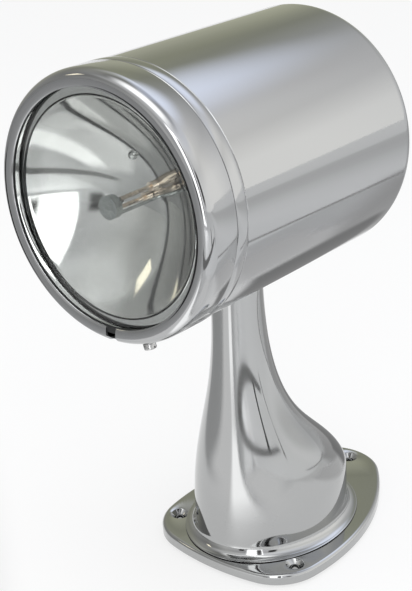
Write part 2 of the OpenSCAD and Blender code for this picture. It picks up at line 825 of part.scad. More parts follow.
module shell() {
  color(chrome) difference() {
    on_head() rotate_extrude($fn = 128) difference() {
      intersection() {
        can_outline(0);
        translate([0, shell_rear]) square([2*shell_r, collar_front - shell_rear]);
      }
      can_outline(shell_t);
    }
    slot_prism();
    at_bezel_screw(collar_ri - cut) cylinder(r = screw_r + press_clear, h = 2*cut + shell_t);
  }
}

// Outline of the bezel's cup, from the axis out: open rear, band, round corner and face
module cup_outline(inset) {
  r = bezel_r - inset;
  front = head_front - inset;
  corner = bezel_round - inset;
  difference() {
    translate([0, bezel_rear - inset]) square([r, front - bezel_rear + inset]);
    translate([r - corner, front - corner]) difference() {
      square([corner + cut, corner + cut]);
      circle(r = corner);
    }
  }
}

module bezel() {
  notch_h = bezel_r - lip_ri + 2*cut;
  color(chrome) difference() {
    on_head() rotate_extrude($fn = 128) difference() {
      cup_outline(0);
      cup_outline(bezel_t);
      translate([0, lip_back - cut]) square([lip_ri, bezel_t + 2*cut]);
    }
    on_head() translate([-notch_w/6, -bezel_r - cut, head_front - notch_depth])
      cube([notch_w, notch_h, notch_depth + cut]);
    at_bezel_screw(bezel_ri - cut) cylinder(r = screw_r + hole_clear, h = bezel_t + 2*cut);
  }
}

module bezel_screw() {
  shank = bezel_r - collar_ri + hole_clear;
  color(steel) at_bezel_screw(bezel_r + press_clear) {
    cylinder(r = bezel_screw_d*head_spread/2, h = bezel_head_h);
    translate([0, 0, -shank]) cylinder(r = screw_r, h = shank + bezel_head_h/2);
  }
}

module lamp_gasket() {
  color(rubber) on_head() rotate_extrude($fn = 128) {
    translate([lip_ri, rim_front]) square([skirt_r - lip_ri, lamp_gasket_t]);
    translate([lamp_r + seat_gap, bowl_rim_back])
      square([skirt_r - lamp_r - seat_gap, rim_front - bowl_rim_back + cut/2]);
  }
}

module lamp_seat() {
  outer = collar_ri - seat_gap;
  color(steel) on_head() rotate_extrude($fn = 128) {
    translate([seat_ri, bowl_rim_back - seat_t]) square([outer - seat_ri, seat_t]);
    translate([outer - seat_t, bowl_rim_back - seat_skirt]) square([seat_t, seat_skirt]);
  }
}

module lens() {
  color([0.85, 0.92, 0.92, 0.5]) on_head() rotate_extrude($fn = 128) difference() {
    union() {
      translate([0, rim_back]) square([lamp_r, lens_rim]);
      intersection() {
        translate([0, lens_centre]) circle(r = lens_ball, $fn = lens_facets);
        translate([0, rim_front - cut]) square([lip_ri, lens_crown + 2*cut]);
      }
    }
    intersection() {
      translate([0, lens_centre]) circle(r = lens_ball - lens_t, $fn = lens_facets);
      translate([0, rim_back - cut]) square([mouth_r, lens_rim + lens_crown + cut]);
    }
  }
}

// Bowl outline at a distance behind the mirror face
function bowl_point(r, back) =
  let (slope = r/(2*bowl_focus), k = back/sqrt(1 + slope*slope))
  [r + k*slope, bowl_vertex + r*r/(4*bowl_focus) - k];

module reflector() {
  inner = [for (i = [0:bowl_steps]) bowl_point(mouth_r*i/bowl_steps, 0)];
  rim = [[lamp_r, rim_back], [lamp_r, bowl_rim_back], [seat_ri - bowl_clear, bowl_rim_back]];
  outer = [for (i = [bowl_steps:-1:0])
    let (p = bowl_point(mouth_r*i/bowl_steps, bowl_t))
    if (p[1] < bowl_rim_back && p[0] < seat_ri - bowl_clear) p];
  tip_seat = bowl_point(norm(tip_at), 0)[1];
  color([0.88, 0.89, 0.90]) on_head() {
    rotate_extrude($fn = 128) polygon(concat(inner, rim, outer));
    translate([tip_at[0], tip_at[1], tip_seat - bowl_t/2]) cylinder(r = tip_d/2, h = bowl_t/2 + tip_h);
  }
}

module filament_posts() {
  foot = bowl_point(post_x + ferrule_d/2, 0)[1] + seat_gap;
  color(bronze) on_head() rotate(lamp_turn) for (x = [-post_x, post_x]) translate([x, 0, foot]) {
    cylinder(r = post_d/2, h = focus_s + coil_d - foot);
    cylinder(r = ferrule_d/2, h = ferrule_h);
  }
}

module filament() {
  half = post_x - post_d/2 - seat_gap;
  color(steel) on_head() rotate(lamp_turn)
    translate([-half, 0, focus_s]) rotate([0, 90, 0]) cylinder(r = coil_d/2, h = 2*half);
}

module glare_shield() {
  stem_y = shield_d/2 - shield_t;
  foot = bowl_point(stem_y + stem_r, 0)[1] + seat_gap;
  color(steel) on_head() rotate(lamp_turn) {
    translate([0, 0, shield_back]) difference() {
      cylinder(r = shield_d/2, h = shield_rim);
      translate([0, 0, -cut]) cylinder(r = shield_d/2 - shield_t, h = shield_rim - shield_t + cut);
    }
    translate([0, -stem_y, foot]) cylinder(r = stem_r, h = shield_back + shield_rim - shield_t/2 - foot);
  }
}

module lamp_terminals() {
  back = bowl_vertex - bowl_t - seat_gap;
  color(bronze) on_head() rotate(lamp_turn) for (x = [-terminal_x, terminal_x])
    translate([x - terminal_w/2, -terminal_w/2, back - terminal_l])
      cube([terminal_w, terminal_w, terminal_l]);
}

module bracket_plate() {
  difference() {
    intersection() {
      translate([bracket_x, -bracket_w/2, head_z - shell_r]) cube([bracket_t, bracket_w, 2*shell_r]);
      translate([0, -head_len, head_z]) rotate([-90, 0, 0])
        cylinder(r = shell_ri - seat_gap, h = 2*head_len);
    }
    across(bracket_x - cut) cylinder(r = tilt_bush_r + press_clear, h = bracket_t + 2*cut);
  }
}

module hub_screw_places() {
  for (a = [60, 180, 300]) rotate(pinion_angle + a) translate([hub_screw_r, 0]) children();
}

module port_bracket() {
  color(steel) difference() {
    bracket_plate();
    across(bracket_x - cut) hub_screw_places()
      cylinder(r = hub_screw_d/2 + press_clear, h = bracket_t + 2*cut);
  }
}

module starboard_bracket() {
  color(steel) mirror([1, 0, 0]) bracket_plate();
}

module tilt_bush() {
  bore = pin_r + pin_clear;
  across(bracket_x) ring(tilt_bush_r, bore, bracket_t);
  across(bracket_x - tilt_flange_t) ring(tilt_flange_r, bore, tilt_flange_t);
}

module tilt_bushes() {
  color(nylon) {
    tilt_bush();
    mirror([1, 0, 0]) tilt_bush();
  }
}

module tilt_sector() {
  half = tilt_max + sector_spare;
  reach = 2*sector_pitch_r;
  color(bronze) across(sector_x) difference() {
    linear_extrude(sector_t) rotate(pinion_angle) {
      circle(r = hub_r);
      intersection() {
        polygon(gear_outline(sector_teeth));
        polygon([[0, 0], reach*[cos(half), -sin(half)], [reach, 0], reach*[cos(half), sin(half)]]);
      }
    }
    translate([0, 0, -cut]) cylinder(r = hub_bore_r, h = sector_t + 2*cut);
    translate([0, 0, -cut]) hub_screw_places()
      cylinder(r = hub_screw_d/2 + hole_clear, h = sector_t + 2*cut);
  }
}

module sector_screws() {
  color(steel) across(sector_x) hub_screw_places()
    mirror([0, 0, 1]) pan_screw(hub_screw_d, sector_t + bracket_t);
}

deck_gasket();
base_flange();
pedestal();
flange_screws();
cable_grommet();
lower_neck_bush();
upper_neck_bush();
pan_gear();
thrust_washer();
yoke();
pan_spindle();
spindle_clip();
pan_motor();
tilt_motor();
motor_screws();
terminal_block();
tilt_pins();
pin_clips();
pan_pinion();
tilt_pinion();
shell();
bezel();
bezel_screw();
lamp_gasket();
lamp_seat();
lens();
reflector();
filament_posts();
filament();
glare_shield();
lamp_terminals();
port_bracket();
starboard_bracket();
tilt_bushes();
tilt_sector();
sector_screws();
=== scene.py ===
"""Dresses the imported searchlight: smooth chrome, a sealed-beam lamp, studio light and camera."""
import json
import math

import bmesh
import bpy
from mathutils import Matrix, Vector


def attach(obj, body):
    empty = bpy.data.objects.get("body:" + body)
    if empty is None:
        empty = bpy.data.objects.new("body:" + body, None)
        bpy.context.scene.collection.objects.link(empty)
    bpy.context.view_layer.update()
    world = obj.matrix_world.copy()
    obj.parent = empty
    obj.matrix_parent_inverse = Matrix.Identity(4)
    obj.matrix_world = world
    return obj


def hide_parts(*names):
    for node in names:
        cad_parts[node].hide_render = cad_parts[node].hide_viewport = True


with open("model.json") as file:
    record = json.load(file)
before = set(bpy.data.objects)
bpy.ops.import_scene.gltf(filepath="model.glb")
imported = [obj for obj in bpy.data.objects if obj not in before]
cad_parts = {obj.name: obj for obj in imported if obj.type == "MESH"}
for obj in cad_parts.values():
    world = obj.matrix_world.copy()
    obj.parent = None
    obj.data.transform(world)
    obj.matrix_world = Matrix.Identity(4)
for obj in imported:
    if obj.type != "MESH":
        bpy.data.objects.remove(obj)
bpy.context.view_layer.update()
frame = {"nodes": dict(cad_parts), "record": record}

MM = 0.001
TURN = 2*math.pi
SQUARE = ((-1, -1), (1, -1), (1, 1), (-1, 1))

# Sizes repeated from the part's source, in millimetres and degrees
HEAD_Z = 224.0
NECK_TOP = 176.0
FLANGE_BOTTOM = 1.5
FLANGE_TOP = 8.0
NECK_R = 13.5
WALL = 4.5
FOOT_HALF_W = 38.0
FOOT_FRONT = 23.5
FOOT_REAR = 74.0
FOOT_WIDEST = 24.0
FLARE_TOP = 157.0
FLARE_SIDE_END = 20.0
FLARE_REAR_END = 27.0
FLARE_LEAD = 0.55
SIDE_POWER = 2
REAR_POWER = 5
COVE_W = 5.8
COVE_H = 7.0
FOOT_EDGE = 0.8
BORE_R = 10.08
BORE_FOOT = 119.6
SPIGOT_R = 12.09
GEAR_H = 5.0
CORNERS = ((22.0, 0.0, 29.0), (0.0, 83.0, 27.5), (-22.0, 0.0, 29.0))
SIDE_R = 132.0
EDGE_R = 2.0
FOOT_CHAMFER = 0.8
DECK_HOLES = ((40.5, -8.0), (-40.5, -8.0), (0.0, 100.5))
HOLE_R = 2.75
SINK_R = 5.0
CABLE_HOLE_R = 13.0
FOOT_BOSSES = ((30.0, 24.0), (-30.0, 24.0), (0.0, 66.0))
FOOT_SCREW_R = 2.7
FOOT_HEAD_R = 4.7
FOOT_HEAD_H = 2.5
SHELL_R = 63.5
SHELL_T = 0.8
SHELL_REAR = -66.0
REAR_R = 10.0
BEAD_FRONT = 74.8
BEAD_W = 7.0
BEAD_H = 0.5
CREASE_W = 0.7
CREASE_H = 0.25
COLLAR_R = 62.7
COLLAR_FRONT = 89.0
SLOT_HALF_W = 15.5
SLOT_HALF_L = 39.5
BEZEL_R = 64.0
BEZEL_T = 1.0
BEZEL_REAR = 75.4
BEZEL_FRONT = 94.0
BEZEL_CROWN_R = 59.6
BEZEL_LEAD = 6.0
LIP_RI = 56.0
NOTCH_X = (-1.0, 5.0)
NOTCH_DEPTH = 5.0
SCREW_ANGLE = 73.0
SCREW_S = 86.4
SCREW_HEAD_R = 3.0
SCREW_HEAD_H = 3.4
SCREW_SLOT_W = 0.9
SCREW_SLOT_H = 1.2
LAMP_R = 57.15
RIM_FRONT = 91.5
RIM_BACK = 86.7
BOWL_RIM_BACK = 82.2
LENS_CROWN = 2.4
LENS_T = 3.2
MOUTH_R = 52.15
BOWL_VERTEX = 56.2045
BOWL_T = 3.0
BOWL_FOCAL = 22.2955
FOCUS_S = 78.5
TIP_AT = (-8.0, 16.0)
TIP_R = 2.0
TIP_H = 1.6
LAMP_TURN = 55.0
COIL_HALF_L = 2.5
COIL_R = 0.8
WIRE_R = 0.22

# Roundings, small gaps and the reach of cutters, in millimetres
FOOT_GAP = 0.3
FOOT_LIP = 0.25
SINK_LIP = 0.3
REAR_RING = 6.0
BEAD_LEAD = 3.0
COLLAR_STEP = 0.05
BEZEL_EDGE = ((-0.25, 0.0), (-0.08, 0.08), (0.0, 0.3))  # outward and forward from its corner
LENS_EDGE_R = 1.0
LENS_STEP = 0.4
LENS_FILLET = 1.5
SEAT_W = 3.9
TIP_SUNK = 1.2
TIP_EDGE_R = 0.6
TIP_ROLL = 150.0  # degrees of the ring's round edge
TIP_POINT = ((0.4, 0.3), (0.15, 0.6))  # share of the tip's radius, and height over the mirror
SCREW_BREAK = 0.3
SCREW_EDGE_R = 0.7
SCREW_GAP = 0.03
CUT_MARGIN = 1.0
SLOT_CUT_FOOT = 120.0
POLE_R = 1e-6  # a ring smaller than this is one point

# Sides and steps of round shapes
SECTION_SIDES = 160
COVE_STEPS = 16
WALL_STEPS = 90
BORE_STEPS = 30
SIDE_STEPS = 40
CORNER_STEPS = 60
EDGE_STEPS = 12
DECK_HOLE_SIDES = 48
SCREW_HOLE_SIDES = 32
CABLE_HOLE_SIDES = 64
HEAD_SIDES = 256
SHELL_STEPS = 24
CREASE_STEPS = 8
SLOT_STEPS = 32
BEZEL_STEPS = 28
LENS_STEPS = 28
LENS_EDGE_STEPS = 6
LENS_FILLET_STEPS = 8
BOWL_STEPS = 48
TIP_SIDES = 40
TIP_STEPS = 10
COIL_TURNS = 7
COIL_STEPS = 20
WIRE_SIDES = 8
SCREW_SIDES = 48
SCREW_STEPS = 8

# Painted shade and some grime on metal in narrow gaps: reach in metres, share of its colour kept
# there, and how open the deep and the free parts are
GAP_REACH = 0.0025
GAP_SHARE = 0.12
GAP_DEEP, GAP_FREE = 0.25, 0.80
GAP_SAMPLES = 8
# Most of a noise texture lies between these values
NOISE_LOW, NOISE_HIGH = 0.3, 0.7

# The photograph's camera, in millimetres, radians and pixels of the 412 by 591 image
IMAGE_W, IMAGE_H = 412, 591
CAMERA_AT = (406.25, -491.63, 428.58)
CAMERA_YAW, CAMERA_PITCH, CAMERA_ROLL = 0.7439, 0.4210, -0.0546
CAMERA_F = 1362.936
CAMERA_CENTRE = (170.902, 311.020)
SENSOR_MM = 36.0
CLIP_START_M = 0.01

# The studio, in metres: white paper behind the object as the camera sees it
PAPER_OFFSET = 0.03
PAPER_HALF = 0.15
PAPER_SPREAD = 0.17
PAPER_NEAR = -0.09
PAPER_FADE = 0.05
PAPER_SHARE = 0.75
PAPER_TONE = 0.9
# The floor round it: tone by distance to port, times a share by distance behind the object, which
# is a painted shade band lowest before the table's far edge, and painted light above 1 beyond it
FLOOR_TONES = (
    (-0.4, 0.45), (-0.1, 0.56), (0.1, 0.64), (0.222, 0.66), (0.230, 0.90), (0.5, 0.92), (0.9, 0.95))
FLOOR_BACK = (
    (0.25, 1.0), (0.38, 1.08), (0.5, 1.05), (0.62, 0.94), (0.78, 0.78),
    (1.0, 0.71), (1.28, 0.74), (1.42, 1.10), (2.0, 1.17), (3.0, 1.22))
FLOOR_HALF = 6.0
FLOOR_ROUGHNESS = 0.32
FLOOR_SHINE = 0.5

# Light of the surround near the horizon by bearing in degrees, 0 behind the object and 90 to port
SURROUND = (
    (-180, (0.74, 0.74, 0.74)), (-165, (0.78, 0.78, 0.77)), (-145, (0.52, 0.52, 0.51)),
    (-125, (0.38, 0.38, 0.37)), (-100, (0.42, 0.42, 0.41)), (-60, (0.46, 0.46, 0.39)),
    (-36, (0.50, 0.51, 0.39)), (-28, (0.45, 0.46, 0.38)), (-14, (0.56, 0.57, 0.55)),
    (-3, (0.74, 0.75, 0.75)), (16, (0.98, 0.98, 0.98)), (25, (1.16, 1.16, 1.15)),
    (38, (1.38, 1.37, 1.33)), (65, (1.37, 1.36, 1.33)), (105, (1.25, 1.25, 1.24)),
    (128, (0.90, 0.90, 0.92)), (150, (0.70, 0.70, 0.72)), (180, (0.74, 0.74, 0.74)))
# The same higher up
CANOPY = (
    (-180, (0.92, 0.92, 0.92)), (-140, (0.80, 0.80, 0.80)), (-110, (0.46, 0.46, 0.45)),
    (-70, (0.48, 0.48, 0.44)), (-48, (0.75, 0.76, 0.72)), (-28, (1.42, 1.50, 1.68)),
    (0, (1.50, 1.60, 1.86)), (13, (1.40, 1.47, 1.66)), (26, (1.10, 1.12, 1.18)),
    (70, (1.15, 1.17, 1.23)), (120, (1.25, 1.26, 1.30)), (180, (0.92, 0.92, 0.92)))
# Heights in degrees between which it takes over
CANOPY_FOOT, CANOPY_FULL = 34.0, 46.0
# Share of both by height above the horizon in degrees
OVERHEAD = (
    (0, 1.0), (12, 1.0), (26, 0.83), (36, 0.94), (46, 1.0), (54, 0.95), (62, 0.6), (90, 0.5))

# Softboxes: centre and size in metres, power in watts, colour, and whether reflections show them
SOFTBOXES = {
    "key_softbox": ((0.48, -0.64, 0.475), (0.36, 0.93), 2.4, (1.0, 1.0, 1.0), True),
    "top_softbox": ((0.05, -0.15, 1.7), (1.1, 1.1), 8.0, (1.0, 1.0, 1.0), False),
    "warm_softbox": ((-0.95, -0.60, 0.80), (0.16, 0.22), 0.20, (1.0, 0.90, 0.68), True),
}
SOFTBOX_AIM = (0.0, -0.03, 0.22)
# Cards that only reflections show, painted light and shade in the metal: the bright ones glow
# though they are no lamps and give painted highlights, the dark ones painted dark reflections, and
# the shade cards behind the object its painted shadow on the floor. Each has its centre and size in
# metres, turn in degrees, brightness, and the share of each half that fades out
CARDS = {
    "floor_glow": ((-0.050, -0.27, 0.0005), (0.26, 0.42), (0.0, 0.0, 0.0), 1.05, 0.55),
    "floor_strip": ((0.040, -0.225, 0.001), (0.095, 0.40), (0.0, 0.0, 0.0), 1.9, 0.55),
    "floor_shade": ((0.026, 0.335, 0.0005), (0.28, 0.50), (0.0, 0.0, -40.0), 0.52, 0.55),
    "paper_shade": ((0.105, 0.18, 0.0007), (0.18, 0.14), (0.0, 0.0, 0.0), 0.74, 0.5),
    # A dark card: the head's painted shadow on the floor, seen only in reflections
    "floor_painted_shadow": ((-0.085, 0.222, 0.001), (0.26, 0.18), (0.0, 0.0, 0.0), 0.28, 0.22),
    "port_fill": ((0.165, -0.10, 0.0008), (0.21, 0.26), (0.0, 0.0, 0.0), 1.04, 0.6),
    "front_edge": ((0.315, -0.266, 0.0015), (1.02, 0.080), (0.0, 0.0, 43.5), 0.26, 0.2),
    "front_slit": ((0.74, -0.185, 0.001), (0.66, 0.046), (0.0, 0.0, -14.0), 0.05, 0.3),
    "side_line": ((0.80, 0.141, 0.001), (0.72, 0.024), (0.0, 0.0, 10.0), 0.36, 0.3),
    "left_dark": ((-0.643, -0.322, 0.001), (0.72, 0.38), (0.0, 0.0, 39.0), 0.04, 0.25),
    "key_flag": ((0.541, -0.556, 0.466), (0.12, 0.96), (71.8, 0.0, 38.2), 0.10, 0.3),
    "paper_edge": ((0.231, 0.315, 0.0012), (0.018, 0.36), (0.0, 0.0, 14.0), 0.48, 0.3),
    "top_glow": ((0.05, -0.45, 1.7), (2.0, 1.5), (0.0, 0.0, 0.0), 2.8, 0.8),
    "port_flag": ((0.94, -0.485, 0.49), (0.28, 0.58), (90.0, 0.0, 73.5), 0.03, 0.55),
    "front_flag": ((0.31, -1.06, 0.18), (0.23, 0.40), (90.0, 0.0, 20.0), 0.03, 0.55),
}


# Shader nodes; each helper gives output sockets

def feed(tree, socket, value):
    """Links an output socket to an input, or sets the input to a plain number."""
    if isinstance(value, (int, float)):
        socket.default_value = value
    else:
        tree.links.new(value, socket)


def math_node(tree, operation, *values):
    node = tree.nodes.new("ShaderNodeMath")
    node.operation = operation
    for socket, value in zip(node.inputs, values):
        feed(tree, socket, value)
    return node.outputs[0]


def map_range(tree, value, start, end, low=0.0, high=1.0, easing="LINEAR"):
    """Goes from low to high as value goes from start to end."""
    node = tree.nodes.new("ShaderNodeMapRange")
    node.interpolation_type = easing
    node.inputs["From Min"].default_value = start
    node.inputs["From Max"].default_value = end
    node.inputs["To Min"].default_value = low
    node.inputs["To Max"].default_value = high
    tree.links.new(value, node.inputs["Value"])
    return node.outputs["Result"]


def fade(tree, value, start, end):
    """Eases from 0 to 1 as value goes from start to end."""
    return map_range(tree, value, start, end, easing="SMOOTHSTEP")


def colour_ramp(tree, value, stops):
    """Colour by value, through stops of (value, colour)."""
    node = tree.nodes.new("ShaderNodeValToRGB")
    ramp = node.color_ramp
    while len(ramp.elements) < len(stops):
        ramp.elements.new(0.5)
    for element, (position, colour) in zip(ramp.elements, stops):
        element.position = position
        element.color = (*colour, 1.0)
    tree.links.new(value, node.inputs["Fac"])
    return node.outputs["Color"]


def tone_ramp(tree, distance, stops):
    """Grey by distance, through stops of (distance, grey)."""
    start, end = stops[0][0], stops[-1][0]
    along = map_range(tree, distance, start, end)
    return colour_ramp(tree, along, [((at - start)/(end - start), (grey, grey, grey))
                                     for at, grey in stops])


def mix_colours(tree, blend, factor, a, b):
    node = tree.nodes.new("ShaderNodeMix")
    node.data_type = "RGBA"
    node.blend_type = blend
    feed(tree, node.inputs["Factor"], factor)
    tree.links.new(a, node.inputs[6])
    tree.links.new(b, node.inputs[7])
    return node.outputs[2]


def mix_shaders(tree, factor, a, b):
    """Mixes two shaders and sends the result to the surface."""
    mix = tree.nodes.new("ShaderNodeMixShader")
    tree.links.new(factor, mix.inputs["Fac"])
    tree.links.new(a, mix.inputs[1])
    tree.links.new(b, mix.inputs[2])
    tree.links.new(mix.outputs["Shader"], tree.nodes["Material Output"].inputs["Surface"])


def coordinates(tree, kind):
    """The X, Y and Z of one kind of texture coordinate."""
    coord = tree.nodes.new("ShaderNodeTexCoord")
    split = tree.nodes.new("ShaderNodeSeparateXYZ")
    tree.links.new(coord.outputs[kind], split.inputs["Vector"])
    return [split.outputs[axis] for axis in "XYZ"]


# Materials

def node_material(name):
    mat = bpy.data.materials.new(name)
    mat.use_nodes = True
    return mat


def material(name, colour, roughness, metallic=0.0, **sockets):
    mat = node_material(name)
    shader = mat.node_tree.nodes["Principled BSDF"]
    shader.inputs["Base Color"].default_value = (*colour, 1.0)
    shader.inputs["Metallic"].default_value = metallic
    shader.inputs["Roughness"].default_value = roughness
    for key, value in sockets.items():
        shader.inputs[key.replace("_", " ")].default_value = value
    return mat


def plug(mat, name, output):
    """Links an output socket to an input of the material's shader."""
    tree = mat.node_tree
    tree.links.new(output, tree.nodes["Principled BSDF"].inputs[name])


def noise(mat, scale, detail, stretch=(1.0, 1.0, 1.0)):
    """A noise texture over the piece's own coordinates, in metres."""
    nodes, links = mat.node_tree.nodes, mat.node_tree.links
    coord = nodes.new("ShaderNodeTexCoord")
    mapping = nodes.new("ShaderNodeMapping")
    mapping.inputs["Scale"].default_value = stretch
    tex = nodes.new("ShaderNodeTexNoise")
    tex.inputs["Scale"].default_value = scale
    tex.inputs["Detail"].default_value = detail
    links.new(coord.outputs["Object"], mapping.inputs["Vector"])
    links.new(mapping.outputs["Vector"], tex.inputs["Vector"])
    return tex.outputs["Fac"]


def vary_roughness(mat, grain, low, high):
    plug(mat, "Roughness", map_range(mat.node_tree, grain, NOISE_LOW, NOISE_HIGH, low, high))


def vary_colour(mat, grain, dark, light):
    stops = ((NOISE_LOW, dark), (NOISE_HIGH, light))
    plug(mat, "Base Color", colour_ramp(mat.node_tree, grain, stops))


def bump(mat, grain, strength, distance):
    node = mat.node_tree.nodes.new("ShaderNodeBump")
    node.inputs["Strength"].default_value = strength
    node.inputs["Distance"].default_value = distance
    mat.node_tree.links.new(grain, node.inputs["Height"])
    plug(mat, "Normal", node.outputs["Normal"])


def paint_gap_shade(mat, colour):
    """Painted shade and some grime in narrow gaps and sharp inside corners: the colour darkens
    where ambient occlusion finds the surface closed in.
    """
    near = mat.node_tree.nodes.new("ShaderNodeAmbientOcclusion")
    near.samples = GAP_SAMPLES
    near.inputs["Distance"].default_value = GAP_REACH
    stops = ((GAP_DEEP, [GAP_SHARE*c for c in colour]), (GAP_FREE, colour))
    plug(mat, "Base Color", colour_ramp(mat.node_tree, near.outputs["AO"], stops))


def chrome(name, colour, wave):
    """Polished plating with a faint wave in it."""
    mat = material(name, colour, roughness=0.06, metallic=1.0)
    # Painted shade, with some grime, in narrow gaps and inside corners
    paint_gap_shade(mat, colour)
    vary_roughness(mat, noise(mat, scale=45.0, detail=3.0), low=0.045, high=0.09)
    bump(mat, noise(mat, scale=24.0, detail=1.0), strength=wave, distance=0.0006)
    return mat


def machined(name, dark, light, roughness, stretch):
    """Turned, cut or plated metal with a fine drawn grain."""
    mat = material(name, light, roughness=roughness, metallic=1.0)
    grain = noise(mat, scale=300.0, detail=4.0, stretch=stretch)
    vary_colour(mat, grain, dark, light)
    vary_roughness(mat, grain, low=roughness - 0.06, high=roughness + 0.08)
    bump(mat, grain, strength=0.08, distance=0.0001)
    return mat


def pressed(name, dark, light, roughness):
    """Thin sheet pressed to shape, which is never quite flat."""
    mat = material(name, light, roughness=roughness, metallic=1.0)
    vary_colour(mat, noise(mat, scale=300.0, detail=4.0), dark, light)
    bump(mat, noise(mat, scale=180.0, detail=1.0), strength=0.8, distance=0.0006)
    return mat


def dull(name, dark, light, roughness, scale):
    """Rubber or moulded plastic."""
    mat = material(name, light, roughness=roughness)
    grain = noise(mat, scale=scale, detail=4.0)
    vary_colour(mat, grain, dark, light)
    vary_roughness(mat, grain, low=roughness - 0.08, high=roughness + 0.08)
    bump(mat, grain, strength=0.15, distance=0.0002)
    return mat


def glass(name, colour):
    mat = material(name, colour, roughness=0.0, Transmission_Weight=1.0, IOR=1.5)
    bump(mat, noise(mat, scale=30.0, detail=1.0), strength=0.03, distance=0.0005)
    return mat


def mirror(name, colour):
    """The silvered inside of the lamp's bowl."""
    mat = material(name, colour, roughness=0.06, metallic=1.0)
    vary_roughness(mat, noise(mat, scale=60.0, detail=2.0), low=0.05, high=0.09)
    bump(mat, noise(mat, scale=40.0, detail=1.0), strength=0.05, distance=0.0005)
    return mat


# Each slot's maker, and what it takes after the name
LOOKS = {
    "chrome_casting": (chrome, (0.44, 0.445, 0.445), 0.05),
    "chrome_sheet": (chrome, (0.44, 0.445, 0.45), 0.03),
    "stainless": (machined, (0.48, 0.48, 0.48), (0.58, 0.58, 0.58), 0.28, (1.0, 1.0, 6.0)),
    "zinc_plate": (machined, (0.42, 0.44, 0.44), (0.52, 0.54, 0.55), 0.38, (1.0, 1.0, 1.0)),
    "motor_case": (machined, (0.18, 0.18, 0.19), (0.26, 0.26, 0.28), 0.42, (1.0, 1.0, 8.0)),
    "bronze": (machined, (0.42, 0.26, 0.10), (0.56, 0.37, 0.16), 0.32, (1.0, 1.0, 4.0)),
    "nylon": (dull, (0.66, 0.63, 0.53), (0.74, 0.71, 0.61), 0.45, 500.0),
    "deck_rubber": (dull, (0.012, 0.012, 0.013), (0.022, 0.022, 0.024), 0.65, 900.0),
    "lamp_rubber": (dull, (0.012, 0.013, 0.013), (0.020, 0.021, 0.022), 0.55, 900.0),
    "lamp_glass": (glass, (0.965, 0.985, 0.977)),
    "lamp_mirror": (mirror, (0.58, 0.58, 0.57)),
    "lamp_brass": (machined, (0.46, 0.36, 0.27), (0.86, 0.78, 0.67), 0.16, (1.0, 6.0, 1.0)),
    "filament_wire": (machined, (0.20, 0.20, 0.21), (0.30, 0.30, 0.31), 0.35, (6.0, 1.0, 1.0)),
    "shield_metal": (pressed, (0.34, 0.36, 0.35), (0.50, 0.52, 0.51), 0.12),
}
MATERIALS = {name: maker(name, *values) for name, (maker, *values) in LOOKS.items()}


# Mesh helpers

def add_object(name, data):
    obj = bpy.data.objects.new(name, data)
    bpy.context.scene.collection.objects.link(obj)
    return obj


def mesh_object(name, bm):
    """Turns a bmesh in millimetres into an object in metres."""
    bmesh.ops.scale(bm, vec=(MM, MM, MM), verts=bm.verts)
    bmesh.ops.recalc_face_normals(bm, faces=bm.faces)
    mesh = bpy.data.meshes.new(name)
    bm.to_mesh(mesh)
    bm.free()
    return add_object(name, mesh)


def finish_piece(name, bm, slot, body, nodes=(), sharp=40.0):
    """Turns a bmesh into a smooth piece that rides on a body and stands for CAD nodes."""
    obj = mesh_object(name, bm)
    for face in obj.data.polygons:
        face.use_smooth = True
    obj.data.set_sharp_from_angle(angle=math.radians(sharp))
    obj.data.materials.append(MATERIALS[slot])
    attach(obj, body)
    if nodes:
        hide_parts(*nodes)
    return obj


def join_rings(bm, rings, closed=False):
    """Faces between rings of vertices, where a ring of one vertex is a pole."""
    sides = max(len(ring) for ring in rings)
    pairs = list(zip(rings, rings[1:])) + ([(rings[-1], rings[0])] if closed else [])
    for a, b in pairs:
        for k in range(sides):
            j = (k + 1) % sides
            corners = [a[k % len(a)], a[j % len(a)], b[j % len(b)], b[k % len(b)]]
            bm.faces.new([v for i, v in enumerate(corners) if v not in corners[:i]])


def loft(bm, rows, closed=False, capped=False):
    """Faces between rows of points; closed joins the last to the first, capped fills both."""
    rings = [[bm.verts.new(p) for p in row] for row in rows]
    join_rings(bm, rings, closed)
    if capped:
        bm.faces.new(rings[0])
        bm.faces.new(rings[-1])
    return rings


def arc(cx, cy, r, start, end, steps):
    """Points of an arc in degrees."""
    angles = [math.radians(start + (end - start)*k/steps) for k in range(steps + 1)]
    return [(cx + r*math.cos(a), cy + r*math.sin(a)) for a in angles]


def quarter(steps):
    """Angles from 0 to a right angle."""
    return [math.pi/2*k/steps for k in range(steps + 1)]


def ring_angles(r, sides):
    """Angles of a ring's points, or the one of a pole."""
    return [TURN*k/sides for k in range(1 if r < POLE_R else sides)]


def level_ring(r, z, sides=SECTION_SIDES, at=(0.0, 0.0)):
    """A level ring about an upright line."""
    x, y = at
    return [(x + r*math.cos(a), y + r*math.sin(a), z) for a in ring_angles(r, sides)]


def head_ring(r, s, sides, at=(0.0, 0.0)):
    """A ring at distance s forward about a line along the head's axis, from port upward."""
    x, z = at
    return [(x + r*math.cos(a), -s, HEAD_Z + z + r*math.sin(a)) for a in ring_angles(r, sides)]


def turned_piece(name, profile, slot, node, closed=False):
    """A piece of the head, turned from (radius, forward distance) points round its axis."""
    bm = bmesh.new()
    loft(bm, [head_ring(r, s, HEAD_SIDES) for r, s in profile], closed)
    return finish_piece(name, bm, slot, "head", [node])


def cut_away(obj, cutter):
    """Cuts one piece by a mesh and drops the cutter."""
    mod = obj.modifiers.new("cut", "BOOLEAN")
    mod.operation = "DIFFERENCE"
    mod.solver = "EXACT"
    mod.object = cutter
    depsgraph = bpy.context.evaluated_depsgraph_get()
    mesh = bpy.data.meshes.new_from_object(obj.evaluated_get(depsgraph))
    obj.modifiers.clear()
    old = obj.data
    obj.data = mesh
    bpy.data.meshes.remove(old)
    bpy.data.objects.remove(cutter)


